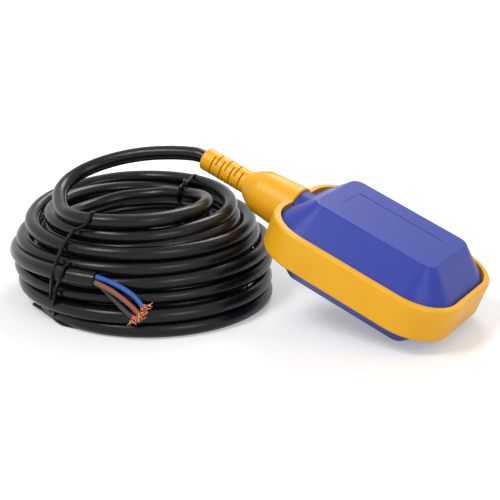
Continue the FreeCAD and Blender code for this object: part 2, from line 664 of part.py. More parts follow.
def make_blade():
    """The contact blade, with its root rolled and a rivet through its free end."""
    half = BLADE_WIDTH / 2
    pivot_x = blade_pivot_x()
    face = blade_face_x()
    back = face - BLADE_THICKNESS
    end = BLADE_PIVOT_Y - TERMINAL_THICKNESS
    blade = box(back, face, end, BLADE_END_Y, -half, half)
    rivet = rod(RIVET_RADIUS, (back - BLADE_THICKNESS, CONTACT_Y, 0), (front_contact_x(), CONTACT_Y, 0))
    roll = rod(BLADE_ROLL_RADIUS, (pivot_x, BLADE_PIVOT_Y, -half), (pivot_x, BLADE_PIVOT_Y, half))
    return blade.fuse(roll).fuse(rivet).removeSplitter()


def spade(y, inner_x):
    """A terminal's straight part through the case's rear wall, with a hole in its outer end."""
    half = TERMINAL_THICKNESS / 2
    tall = TERMINAL_WIDTH / 2
    blade = box(TERMINAL_END_X, inner_x, y - half, y + half, -tall, tall)
    hole_x = TERMINAL_END_X + TERMINAL_HOLE_FROM_END
    return blade.cut(rod(TERMINAL_HOLE_RADIUS, (hole_x, y - half, 0), (hole_x, y + half, 0)))


def make_common_terminal():
    """The common terminal: its inner edge stands behind the blade's rolled root."""
    return spade(BLADE_PIVOT_Y, blade_pivot_x() - BLADE_ROLL_RADIUS - TOUCH_GAP)


def make_closed_terminal():
    """The normally closed terminal: its arm ends in a rivet in front of the blade."""
    y = closed_terminal_y()
    arm_back = front_contact_x() + TOUCH_GAP + BLADE_THICKNESS
    arm_front = arm_back + TERMINAL_THICKNESS
    tall = TERMINAL_WIDTH / 2
    terminal = spade(y, arm_front)
    terminal = terminal.fuse(
        box(arm_back, arm_front, CONTACT_Y - CONTACT_RADIUS, y + TERMINAL_THICKNESS / 2, -tall, tall)
    )
    rivet = rod(CONTACT_RADIUS, (arm_back - BLADE_THICKNESS, CONTACT_Y, 0), (arm_back, CONTACT_Y, 0))
    return terminal.fuse(rivet).removeSplitter()


def make_open_terminal():
    """The normally open terminal: its rivet stands where the swung blade arrives."""
    arm = CONTACT_Y - BLADE_PIVOT_Y
    swing = math.radians(BLADE_SWING)
    rivet_face = blade_pivot_x() - arm * math.sin(swing) - 1.5 * BLADE_THICKNESS - 2 * TOUCH_GAP
    arm_front = rivet_face - BLADE_THICKNESS
    arm_back = arm_front - TERMINAL_THICKNESS
    tall = TERMINAL_WIDTH / 2
    terminal = spade(OPEN_TERMINAL_Y, arm_front)
    y0 = OPEN_TERMINAL_Y - TERMINAL_THICKNESS / 2
    terminal = terminal.fuse(box(arm_back, arm_front, y0, BLADE_END_Y, -tall, tall))
    rivet = rod(CONTACT_RADIUS, (arm_front, CONTACT_Y, 0), (rivet_face, CONTACT_Y, 0))
    return terminal.fuse(rivet).removeSplitter()


def make_resin():
    """The sealing resin cast round the cable in the neck."""
    ring = x_rod(NECK_CHAMBER_RADIUS - CABLE_CLEARANCE, NECK_END_X + CABLE_CLEARANCE, NECK_FRAME_X)
    return ring.cut(x_rod(CABLE_BORE, NECK_END_X, NECK_FRAME_X))


def make_inner_cable():
    """The jacketed cable through boot and neck, stripped inside the float."""
    return x_rod(CABLE_RADIUS, BOOT_END_X, JACKET_END_X)


def make_clamp():
    """The saddle that holds the cable down on the cage's tray."""
    end = TRAY_END_X + CLAMP_LENGTH
    top = CABLE_RADIUS + CLAMP_WALL
    clamp = box(TRAY_END_X, end, -CLAMP_HALF_WIDTH, CLAMP_HALF_WIDTH, -CLAMP_SEAT_BELOW_AXIS, 0)
    clamp = clamp.fuse(box(TRAY_END_X, end, -top, top, -CLAMP_SEAT_BELOW_AXIS, 0))
    arch = x_rod(top, TRAY_END_X, end).common(box(TRAY_END_X, end, -top, top, 0, top))
    clamp = clamp.fuse(arch).cut(x_rod(CABLE_BORE, TRAY_END_X, end))
    for y in (-CLAMP_SCREW_Y, CLAMP_SCREW_Y):
        hole = CLAMP_SCREW_RADIUS + SCREW_CLEARANCE
        x = TRAY_END_X + CLAMP_LENGTH / 2
        clamp = clamp.cut(rod(hole, (x, y, -CLAMP_SEAT_BELOW_AXIS), (x, y, top)))
    return clamp.removeSplitter()


def make_clamp_screws():
    """Two screws through the saddle into its seat."""
    screws = []
    for y in (-CLAMP_SCREW_Y, CLAMP_SCREW_Y):
        x = TRAY_END_X + CLAMP_LENGTH / 2
        end = -CLAMP_SEAT_BELOW_AXIS - CLAMP_SCREW_GRIP
        screws.append(
            screw(x, y, 0, end, CLAMP_SCREW_RADIUS, CLAMP_SCREW_HEAD_RADIUS, CLAMP_SCREW_HEAD_HEIGHT)
        )
    return Part.makeCompound(screws)


def make_inner_core(angle, terminal_y):
    """One insulated core from its place in the stripped cable to its terminal, with eased corners."""
    middle_y = INNER_CORE_CIRCLE * math.cos(math.radians(angle))
    middle_z = INNER_CORE_CIRCLE * math.sin(math.radians(angle))
    points = [
        Vector(JACKET_END_X, middle_y, middle_z),
        Vector(JACKET_END_X + INNER_CORE_STRAIGHT, middle_y, middle_z),
        Vector(TERMINAL_END_X - INNER_CORE_STRAIGHT, terminal_y, 0),
        Vector(TERMINAL_END_X, terminal_y, 0),
    ]
    core = rod(INNER_CORE_RADIUS, points[0], points[1])
    for a, b in zip(points[1:], points[2:]):
        core = core.fuse(Part.makeSphere(INNER_CORE_RADIUS, a)).fuse(rod(INNER_CORE_RADIUS, a, b))
    return core.removeSplitter()


def float_placement(shapes):
    """The pose of the float: tipped nose down, lowest edge on the floor, centred over the origin."""
    tipped = [s.copy() for s in shapes]
    for s in tipped:
        s.rotate(Vector(0, 0, 0), Vector(0, 1, 0), FLOAT_PITCH)
    points = [p for s in tipped for p in s.tessellate(0.05)[0]]
    xs = [p.x for p in points]
    lowest = min(p.z for p in points)
    base = Vector(-(min(xs) + max(xs)) / 2, 0, -lowest)
    return Placement(base, Rotation(Vector(0, 1, 0), FLOAT_PITCH))


def tube(name, points, radius):
    """A tube along straight runs joined by tangent arcs, checked against its section times its length."""
    route = [Vector(*p) for p in points]
    corner_arcs = []
    radii = []
    for a, b, c in zip(route, route[1:], route[2:]):
        into = (b - a).normalize()
        away = (c - b).normalize()
        half_turn = into.getAngle(away) / 2
        shorter = min((b - a).Length, (c - b).Length)
        cut = ARC_SHARE * shorter
        radii.append(cut / math.tan(half_turn))
        start = b - into * cut
        end = b + away * cut
        middle = (away - into).normalize()
        bulge = radii[-1] * (1 / math.cos(half_turn) - 1)
        corner_arcs.append((start, b + middle * bulge, end))
    edges = []
    last = route[0]
    for start, middle, end in corner_arcs:
        edges.append(Part.LineSegment(last, start).toShape())
        edges.append(Part.Arc(start, middle, end).toShape())
        last = end
    edges.append(Part.LineSegment(last, route[-1]).toShape())
    path = Part.Wire(edges)
    first_way = route[1] - route[0]
    section = Part.Wire([Part.Circle(route[0], first_way, radius).toShape()])
    solid = path.makePipeShell([section], True, True)
    expected = math.pi * radius**2 * path.Length
    print(
        name,
        "length",
        round(path.Length, 1),
        "radii",
        [round(r, 1) for r in radii],
        "volume share",
        round(solid.Volume / expected, 4),
    )
    return solid


def coil_body(grow):
    """The coil as one closed ring of its outer form, grown by a thickness everywhere but below."""
    wires = []
    top = COIL_SECTIONS[-1][0]
    for z, x, y, r in COIL_SECTIONS:
        height = z + grow if z == top else z
        wires.append(Part.Wire([Part.Circle(Vector(x, y, height), Vector(0, 0, 1), r + grow).toShape()]))
    outside = Part.makeLoft(wires, True, True)
    wires = []
    for (x, y, r), z in ((COIL_BORE_BOTTOM, 0), (COIL_BORE_TOP, top + grow)):
        wires.append(Part.Wire([Part.Circle(Vector(x, y, z), Vector(0, 0, 1), r - grow).toShape()]))
    return outside.cut(Part.makeLoft(wires, True, True))


def under_coil(depth):
    """The layer of space below the coil, down to which a tie reaches."""
    bounds = coil_body(0).BoundBox
    return box(bounds.XMin, bounds.XMax, bounds.YMin, bounds.YMax, 0, depth)


def front_tie_slab(width):
    """The leaning slice of space that the front tie lies in."""
    top = COIL_SECTIONS[-1][0]
    lean = math.degrees(math.atan2(FRONT_TIE_TOP_X - FRONT_TIE_BOTTOM_X, top))
    reach = 2 * top
    slab = Part.makeBox(width, reach, 3 * top, Vector(-width / 2, -reach, -top))
    slab.rotate(Vector(0, 0, 0), Vector(0, 1, 0), lean)
    slab.translate(Vector(FRONT_TIE_BOTTOM_X, COIL_BORE_TOP[1], 0))
    return slab


def back_tie_slab(width):
    """The upright slice of space that the back tie lies in."""
    top = COIL_SECTIONS[-1][0]
    slab = Part.makeBox(2 * top, width, 3 * top, Vector(0, -width / 2, -top))
    slab.rotate(Vector(0, 0, 0), Vector(0, 0, 1), BACK_TIE_AZIMUTH)
    slab.translate(Vector(BACK_TIE_CENTRE[0], BACK_TIE_CENTRE[1], 0))
    return slab


def make_tie(slab):
    """A tie: the thin loop round the coil's section inside one slice."""
    outside = coil_body(TIE_OFF_COIL + TIE_THICKNESS)
    inside = coil_body(TIE_OFF_COIL).cut(under_coil(TIE_THICKNESS))
    return outside.common(slab).cut(inside).removeSplitter()


def make_coil():
    """The coil, with a shallow groove under it where each tie passes."""
    coil = coil_body(0)
    groove_width = TIE_WIDTH + 2 * TIE_OFF_COIL
    under = under_coil(TIE_THICKNESS + TIE_OFF_COIL)
    for slab in (front_tie_slab(groove_width), back_tie_slab(groove_width)):
        coil = coil.cut(slab.common(under))
    return coil.removeSplitter()


def make_strands(route):
    """A core's bare strands, from its end on along its last run."""
    end = Vector(*route[-1])
    way = (end - Vector(*route[-2])).normalize()
    return Part.makeCylinder(STRANDS_RADIUS, STRANDS_LENGTH, end, way)


def float_nodes():
    """Every piece of the float, in the float's own frame."""
    shell = make_shell()
    seal = make_seal()
    lower_seal = seal.copy()
    lower_seal.rotate(Vector(0, 0, 0), Vector(1, 0, 0), 180)
    return {
        "float_frame": make_frame(),
        "upper_shell": shell,
        "lower_shell": make_lower_shell(shell),
        "upper_seal": seal,
        "lower_seal": lower_seal,
        "cage_base": make_cage_base(),
        "cage_cover": make_cage_cover(),
        "cage_screws": make_cage_screws(),
        "cover_screws": make_cover_screws(),
        "steel_ball": Part.makeSphere(BALL_RADIUS, Vector(BALL_REST_X, 0, 0)),
        "switch_case": make_switch_case(),
        "switch_cover": make_switch_cover(),
        "switch_screws": make_switch_screws(),
        "switch_lever": make_lever(),
        "lever_pin": make_lever_pin(),
        "switch_plunger": make_plunger(),
        "contact_blade": make_blade(),
        "common_terminal": make_common_terminal(),
        "closed_terminal": make_closed_terminal(),
        "open_terminal": make_open_terminal(),
        "sealing_resin": make_resin(),
        "cable_in_neck": make_inner_cable(),
        "cable_clamp": make_clamp(),
        "clamp_screws": make_clamp_screws(),
        "inner_core_blue": make_inner_core(210, BLADE_PIVOT_Y),
        "inner_core_brown": make_inner_core(90, OPEN_TERMINAL_Y),
        "inner_core_black": make_inner_core(330, closed_terminal_y()),
    }


def cord_nodes(place):
    """The free cable, from the boot to its bare ends."""
    exit_point = place.multVec(Vector(BOOT_END_X, 0, 0))
    out = place.Rotation.multVec(Vector(-1, 0, 0))
    lead = [tuple(exit_point), tuple(exit_point + out * LEAD_FIRST_RUN)] + LEAD_ROUTE
    print("lead starts", [round(c, 2) for c in exit_point], "then", [round(c, 2) for c in lead[1]])
    coil = make_coil()
    nodes = {
        "cable_lead": tube("cable_lead", lead, CABLE_RADIUS),
        "cable_coil": coil,
        "cable_tail": tube("cable_tail", TAIL_ROUTE, CABLE_RADIUS),
        "tie_front": make_tie(front_tie_slab(TIE_WIDTH)),
        "tie_back": make_tie(back_tie_slab(TIE_WIDTH)),
    }
    for colour, route in (
        ("blue", BLUE_CORE_ROUTE),
        ("brown", BROWN_CORE_ROUTE),
        ("black", BLACK_CORE_ROUTE),
    ):
        nodes["core_" + colour] = tube("core_" + colour, route, CORE_RADIUS)
        nodes["strands_" + colour] = make_strands(route)
    return nodes


def main():
    os.makedirs("parts", exist_ok=True)
    pieces = float_nodes()
    place = float_placement([pieces["float_frame"], pieces["upper_shell"], pieces["lower_shell"]])
    print("float centre", [round(c, 3) for c in place.Base], "ball travel", round(BALL_TRAVEL, 3))
    for shape in pieces.values():
        shape.Placement = place.multiply(shape.Placement)
    pieces.update(cord_nodes(place))
    for name, shape in pieces.items():
        shape.exportStep("parts/" + name + ".step")
        print(name, shape.isValid(), len(shape.Solids), round(shape.Volume, 2))


main()
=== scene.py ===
import json
import math
import random

import bpy
from mathutils import Matrix, Vector


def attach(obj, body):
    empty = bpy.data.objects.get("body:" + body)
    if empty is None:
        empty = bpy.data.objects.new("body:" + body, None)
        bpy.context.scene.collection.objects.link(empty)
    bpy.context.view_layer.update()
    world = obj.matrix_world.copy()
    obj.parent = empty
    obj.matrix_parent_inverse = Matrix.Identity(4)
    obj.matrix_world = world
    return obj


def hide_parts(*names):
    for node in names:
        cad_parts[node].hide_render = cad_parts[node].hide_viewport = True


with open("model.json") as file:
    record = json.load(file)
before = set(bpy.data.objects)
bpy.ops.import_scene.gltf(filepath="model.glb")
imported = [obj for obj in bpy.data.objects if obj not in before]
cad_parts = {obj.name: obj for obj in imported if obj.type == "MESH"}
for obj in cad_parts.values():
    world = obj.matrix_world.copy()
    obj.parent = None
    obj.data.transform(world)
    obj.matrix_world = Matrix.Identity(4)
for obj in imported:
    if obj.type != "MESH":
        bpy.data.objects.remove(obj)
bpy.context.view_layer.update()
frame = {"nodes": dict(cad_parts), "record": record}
nodes = frame["nodes"]

# Cable and its parts, in metres
MM = 0.001
CABLE_RADIUS = 0.0038
CORE_RADIUS = 0.0013
STRAND_RADIUS = 0.00016
TIE_RADIUS = 0.00095

# Routes below are in millimetres

# Lead: out of the boot, over the back of the coil, down its left side and onto its top
LEAD = [
    (-75.42, 0.0, 70.86),
    (-78.78, 0.0, 72.14),
    (-86.0, -0.4, 72.2),
    (-96.5, -2.4, 71.7),
    (-109.7, -6.8, 70.4),
    (-123.1, -13.6, 67.5),
    (-134.0, -23.8, 63.4),
    (-138.6, -36.0, 59.1),
    (-135.5, -48.5, 55.9),
    (-127.5, -58.8, 53.8),
]

# Coil: what its turns follow, as angle in degrees, centre x, centre y, radius and height in millimetres
COIL = [
    (232, -96.5, -38.0, 36.5, 52.3),
    (262, -96.5, -38.0, 36.6, 53.0),
    (300, -96.5, -38.0, 34.8, 53.3),
    (345, -96.5, -38.0, 35.2, 53.3),
    (378, -96.5, -38.0, 37.3, 52.8),
    (410, -96.5, -38.0, 39.2, 51.2),
    (445, -96.5, -38.0, 37.6, 48.6),
    (480, -96.5, -38.0, 36.2, 45.9),
    (530, -96.5, -37.0, 35.2, 42.8),
    (630, -97.0, -31.0, 36.4, 46.4),
    (720, -97.0, -31.0, 37.0, 43.8),
    (811, -97.5, -31.0, 37.6, 38.6),
    (850, -97.0, -31.0, 35.2, 37.4),
    (890, -97.0, -31.0, 36.0, 36.2),
    (990, -97.5, -30.5, 38.2, 37.0),
    (1171, -97.5, -30.5, 38.2, 32.4),
    (1260, -97.0, -31.5, 51.0, 30.6),
    (1350, -94.5, -31.5, 47.0, 28.8),
    (1440, -91.5, -31.5, 47.0, 26.9),
    (1530, -93.0, -31.5, 46.5, 25.1),
    (1620, -97.0, -31.5, 51.0, 23.3),
    (1710, -94.5, -31.5, 47.0, 21.5),
    (1800, -91.5, -31.5, 49.0, 19.6),
    (1890, -93.0, -31.5, 46.5, 17.8),
    (1980, -97.0, -31.5, 51.0, 16.0),
    (2070, -94.5, -31.5, 47.0, 14.1),
    (2160, -91.5, -31.5, 50.0, 12.3),
    (2250, -93.0, -31.5, 46.5, 10.5),
    (2340, -97.0, -31.5, 51.0, 8.7),
    (2430, -94.5, -31.5, 47.0, 6.8),
    (2520, -91.5, -31.5, 50.0, 5.0),
    (2610, -93.0, -31.5, 46.5, 4.0),
    (2700, -97.0, -31.5, 51.0, 3.9),
    (2790, -90.2, -28.5, 58.8, 3.9),
    (2925, -90.2, -28.5, 58.8, 3.9),
    (3015, -93.5, -28.5, 63.0, 9.8),
    (3060, -95.5, -28.0, 65.5, 11.0),
    (3150, -94.5, -28.0, 61.5, 11.0),
    (3285, -93.3, -27.8, 60.8, 11.0),
    (3375, -101.0, -21.8, 64.6, 17.6),
    (3420, -101.7, -21.0, 65.1, 18.1),
    (3645, -101.7, -21.0, 65.1, 18.1),
    (3735, -101.8, -22.0, 60.0, 24.2),
    (3780, -102.0, -22.0, 54.5, 25.0),
    (3830, -102.0, -21.3, 58.5, 25.2),
    (3870, -102.0, -21.0, 64.7, 25.2),
    (3960, -102.0, -21.0, 64.7, 26.4),
    (4005, -102.0, -21.0, 64.7, 26.4),
    (4050, -101.0, -24.0, 57.0, 26.6),
    (4095, -99.5, -28.0, 50.0, 30.8),
    (4140, -99.5, -28.0, 49.0, 31.8),
    (4230, -99.5, -28.0, 48.5, 33.0),
    (4410, -99.5, -28.0, 48.5, 36.6),
    (4500, -99.5, -28.0, 47.5, 38.0),
    (4590, -99.5, -28.0, 46.6, 39.2),
    (4680, -99.5, -27.0, 50.2, 42.6),
    (4770, -99.5, -27.0, 46.0, 44.3),
    (4860, -99.5, -27.0, 46.3, 45.5),
    (4950, -99.5, -27.0, 47.0, 46.0),
    (4990, -99.5, -27.0, 47.0, 45.9),
    (5040, -99.5, -27.0, 47.5, 47.6),
    (5130, -99.5, -27.0, 47.5, 50.4),
    (5175, -100.0, -26.0, 51.0, 49.0),
    (5220, -100.5, -25.0, 55.3, 45.4),
    (5265, -101.0, -24.3, 57.2, 41.6),
    (5310, -101.2, -24.0, 57.3, 39.4),
    (5445, -101.2, -24.0, 57.3, 38.8),
    (5535, -103.0, -23.8, 60.6, 33.0),
    (5580, -103.0, -23.8, 60.8, 32.3),
    (5805, -103.0, -23.8, 60.8, 32.1),
    (5895, -102.5, -22.3, 63.0, 27.4),
    (5940, -102.3, -21.5, 61.8, 25.4),
    (5985, -102.3, -21.5, 66.3, 27.4),
]
COIL_STEP = 15.0

# Tail: the last of the jacket, along the front of the coil
TAIL = [
    (-136.4, -81.0, 28.9),
    (-124.9, -88.0, 29.7),
    (-111.0, -92.7, 30.6),
    (-95.9, -93.9, 30.4),
    (-81.9, -90.2, 29.5),
]

# Cores: from inside the jacket's end to their own cut ends
CORES = {
    "blue": [
        (-81.9, -90.2, 31.1),
        (-76.0, -87.0, 29.0),
        (-67.4, -83.3, 24.0),
        (-63.2, -82.0, 20.2),
        (-61.0, -81.5, 17.2),
    ],
    "brown": [
        (-81.6, -91.7, 28.8),
        (-75.8, -89.4, 26.4),
        (-69.0, -85.9, 20.8),
        (-63.8, -84.8, 16.6),
        (-61.0, -84.4, 14.0),
    ],
    "black": [
        (-82.2, -88.9, 28.1),
        (-76.8, -87.4, 22.8),
        (-69.7, -86.9, 16.8),
        (-63.4, -86.9, 12.9),
    ],
}

# Frayed copper: strands at each core, steps in a strand, and how a strand starts, bends and curls
STRAND_COUNT = 26
STRAND_STEPS = 8
BUNDLE_RADIUS = 0.85
START_INSIDE = 0.6
BEND_STEPS = 6
CURL_STEPS = 5
CURL_ANGLE = 1.7

# Ties: closed loops round the coil's turns, and the open lengths and ends beside them
FRONT_TIE = [
    (-95.5, -70.5, 56.0),
    (-94.2, -76.0, 58.0),
    (-93.5, -79.4, 53.2),
    (-97.6, -79.6, 50.4),
    (-102.0, -79.0, 49.0),
    (-104.2, -84.8, 43.2),
    (-105.3, -89.0, 36.5),
    (-101.5, -98.6, 31.5),
    (-105.5, -95.0, 24.0),
    (-109.2, -91.0, 17.9),
    (-112.5, -88.2, 11.0),
    (-116.0, -84.8, 4.5),
    (-117.0, -79.5, 0.95),
    (-108.0, -73.0, 0.95),
    (-102.0, -68.0, 4.0),
    (-99.5, -65.8, 20.0),
    (-97.5, -66.0, 42.0),
]
FRONT_TIE_LEG = [
    (-96.5, -90.0, 35.0),
    (-96.8, -95.5, 35.4),
    (-96.6, -98.6, 30.8),
    (-101.0, -95.5, 25.5),
    (-105.4, -91.4, 21.5),
    (-106.4, -93.0, 13.6),
    (-110.0, -88.6, 6.0),
    (-113.6, -84.8, 2.0),
]
FRONT_TIE_END_LEFT = [
    (-113.6, -84.4, 1.4),
    (-121.0, -80.3, 1.0),
    (-128.5, -76.6, 1.0),
    (-135.4, -73.9, 1.0),
]
FRONT_TIE_END_RIGHT = [
    (-113.0, -84.8, 1.4),
    (-109.0, -86.9, 1.0),
    (-103.1, -88.9, 1.1),
    (-93.4, -87.7, 1.1),
]
BACK_TIE = [
    (-95.6, 17.8, 54.4),
    (-93.6, 11.5, 53.0),
    (-91.0, 1.5, 53.6),
    (-89.3, -5.0, 53.4),
    (-90.1, -6.8, 47.5),
    (-90.5, 1.0, 41.0),
    (-90.5, 4.8, 22.0),
    (-91.0, 3.5, 6.0),
    (-91.0, 10.0, 0.95),
    (-91.5, 24.0, 0.95),
    (-92.0, 32.5, 5.0),
    (-93.0, 39.0, 12.0),
    (-93.5, 44.6, 21.0),
    (-94.0, 42.0, 31.0),
    (-94.5, 37.8, 39.0),
    (-95.0, 26.5, 48.0),
    (-95.4, 22.5, 53.0),
]
BACK_TIE_END = [
    (-92.2, 4.5, 55.2),
    (-90.6, 2.2, 55.9),
    (-89.0, 0.6, 55.2),
    (-88.2, -0.6, 53.9),
]


# Camera at the photograph's place
CAMERA_LENS = 92.55
CAMERA_PLACE = (0.2800, -0.5551, 0.2425)
CAMERA_RIGHT = (0.8607, 0.5090, 0.0)
CAMERA_BACK = (0.4822, -0.8153, 0.3206)

# Studio: lamps as name, place, side in metres and power in watts, then floor and background
LAMPS = (
    ("key", (-0.35, -0.75, 1.1), 0.42, 7.8),
    ("fill", (0.9, -0.5, 0.6), 0.5, 3.2),
    ("back", (-0.3, 0.8, 0.9), 0.42, 4.6),
)
LAMPS_FACE = (-0.02, -0.02, 0.03)
SKY_LIGHT = 0.5
FLOOR_HALF = 4
FLOOR_COLOUR = (0.72, 0.72, 0.72, 1.0)
WHITE = (1.0, 1.0, 1.0, 1.0)
GLOW_NEAR = 0.32
GLOW_FROM = 0.2
GLOW_FULL_FROM = 0.6

# The part of a noise's range that most of its values lie in
NOISE_LOW = 0.3
NOISE_HIGH = 0.7


def coil_points():
    """The control points of the coil's turns, from its table of angles, centres, radii and heights."""
    first, last = COIL[0][0], COIL[-1][0]
    count = round((last - first) / COIL_STEP)
    # The spline runs inside its points, so they lie this much further out than the turn
    outward = 1 / math.cos(math.radians(COIL_STEP / 2))
    points = []
    row = 0
    for i in range(count + 1):
        angle = first + (last - first) * i / count
        while row < len(COIL) - 2 and angle >= COIL[row + 1][0]:
            row += 1
        a, b = COIL[row], COIL[row + 1]
        t = (angle - a[0]) / (b[0] - a[0])
        t = t * t * (3 - 2 * t)
        x, y, r, z = [p + (q - p) * t for p, q in zip(a[1:], b[1:])]
        turn = math.radians(angle)
        points.append((x + r * outward * math.cos(turn), y + r * outward * math.sin(turn), z))
    return points


def curve(name, splines, radius, resolution=4, sides=5, cyclic=False):
    """A curve object of smooth splines through its millimetre points, with a round section."""
    data = bpy.data.curves.new(name, "CURVE")
    data.dimensions = "3D"
    data.resolution_u = resolution
    data.bevel_depth = radius
    data.bevel_resolution = sides
    data.use_fill_caps = True
    for points in splines:
        spline = data.splines.new("NURBS")
        spline.points.add(len(points) - 1)
        for point, (x, y, z) in zip(spline.points, points):
            point.co = (x * MM, y * MM, z * MM, 1.0)
        spline.order_u = 3
        spline.use_endpoint_u = not cyclic
        spline.use_cyclic_u = cyclic
    obj = bpy.data.objects.new(name, data)
    bpy.context.scene.collection.objects.link(obj)
    return obj


def srgb(r, g, b):
    """A colour read as 8-bit sRGB, as the linear values that the shader takes."""
    out = []
    for value in (r, g, b):
        v = value / 255
        out.append(v / 12.92 if v <= 0.04045 else ((v + 0.055) / 1.055) ** 2.4)
    return (*out, 1.0)


class Material:
    """A procedural material on one Principled shader, with noises in object space."""

    def __init__(self, name, colour, roughness, metallic=0.0, specular=0.5):
        self.material = bpy.data.materials.new(name)
        self.material.use_nodes = True
        self.tree = self.material.node_tree
        self.shader = self.tree.nodes["Principled BSDF"]
        self.shader.inputs["Base Color"].default_value = colour
        self.shader.inputs["Roughness"].default_value = roughness
        self.shader.inputs["Metallic"].default_value = metallic
        self.shader.inputs["Specular IOR Level"].default_value = specular
        self.place = self.tree.nodes.new("ShaderNodeTexCoord").outputs["Object"]
        self.colour_from = None
        self.height_from = None

    def noise(self, scale, detail=3.0, stretch=None):
        """A noise's value, its scale in features per metre."""
        node = self.tree.nodes.new("ShaderNodeTexNoise")
        node.inputs["Scale"].default_value = scale
        node.inputs["Detail"].default_value = detail
        place = self.place
        if stretch:
            mapping = self.tree.nodes.new("ShaderNodeMapping")
            mapping.inputs["Scale"].default_value = stretch
            self.tree.links.new(place, mapping.inputs["Vector"])
            place = mapping.outputs["Vector"]
        self.tree.links.new(place, node.inputs["Vector"])
        return node.outputs["Fac"]

    def steps(self, value, low, high, start, end):
        """The value mapped from low..high onto start..end."""
        node = self.tree.nodes.new("ShaderNodeMapRange")
        node.inputs["From Min"].default_value = low
        node.inputs["From Max"].default_value = high
        node.inputs["To Min"].default_value = start
        node.inputs["To Max"].default_value = end
        self.tree.links.new(value, node.inputs["Value"])
        return node.outputs["Result"]

    def tint(self, mask, colour):
        """Mixes another colour in where the mask is 1."""
        node = self.tree.nodes.new("ShaderNodeMix")
        node.data_type = "RGBA"
        base, other = node.inputs[6], node.inputs[7]
        if self.colour_from is None:
            base.default_value = self.shader.inputs["Base Color"].default_value
        else:
            self.tree.links.new(self.colour_from, base)
        other.default_value = colour
        self.tree.links.new(mask, node.inputs[0])
        self.colour_from = node.outputs[2]
        self.tree.links.new(self.colour_from, self.shader.inputs["Base Color"])

    def rough(self, value, smoothest, roughest):
        """Roughness that varies with a noise."""
        varied = self.steps(value, NOISE_LOW, NOISE_HIGH, smoothest, roughest)
        self.tree.links.new(varied, self.shader.inputs["Roughness"])

    def bump(self, value, strength, distance):
        """Adds relief from a value, its full depth in metres."""
        node = self.tree.nodes.new("ShaderNodeBump")
        node.inputs["Strength"].default_value = strength
        node.inputs["Distance"].default_value = distance
        self.tree.links.new(value, node.inputs["Height"])
        if self.height_from is not None:
            self.tree.links.new(self.height_from, node.inputs["Normal"])
        self.height_from = node.outputs["Normal"]
        self.tree.links.new(self.height_from, self.shader.inputs["Normal"])


def moulded(name, colour, shade, roughness, grain=2600.0, depth=0.00002, specular=0.4, uneven=0.07):
    """Moulded plastic: a soft cloudiness in its colour, fine grain and uneven gloss."""
    m = Material(name, colour, roughness, specular=specular)
    cloud = m.noise(45.0, 2.0)
    m.tint(m.steps(cloud, 0.35, 0.7, 0.0, 0.35), shade)
    m.rough(m.noise(300.0, 3.0), roughness - uneven, roughness + uneven)
    m.bump(m.noise(grain, 2.0), 0.25, depth)
    return m


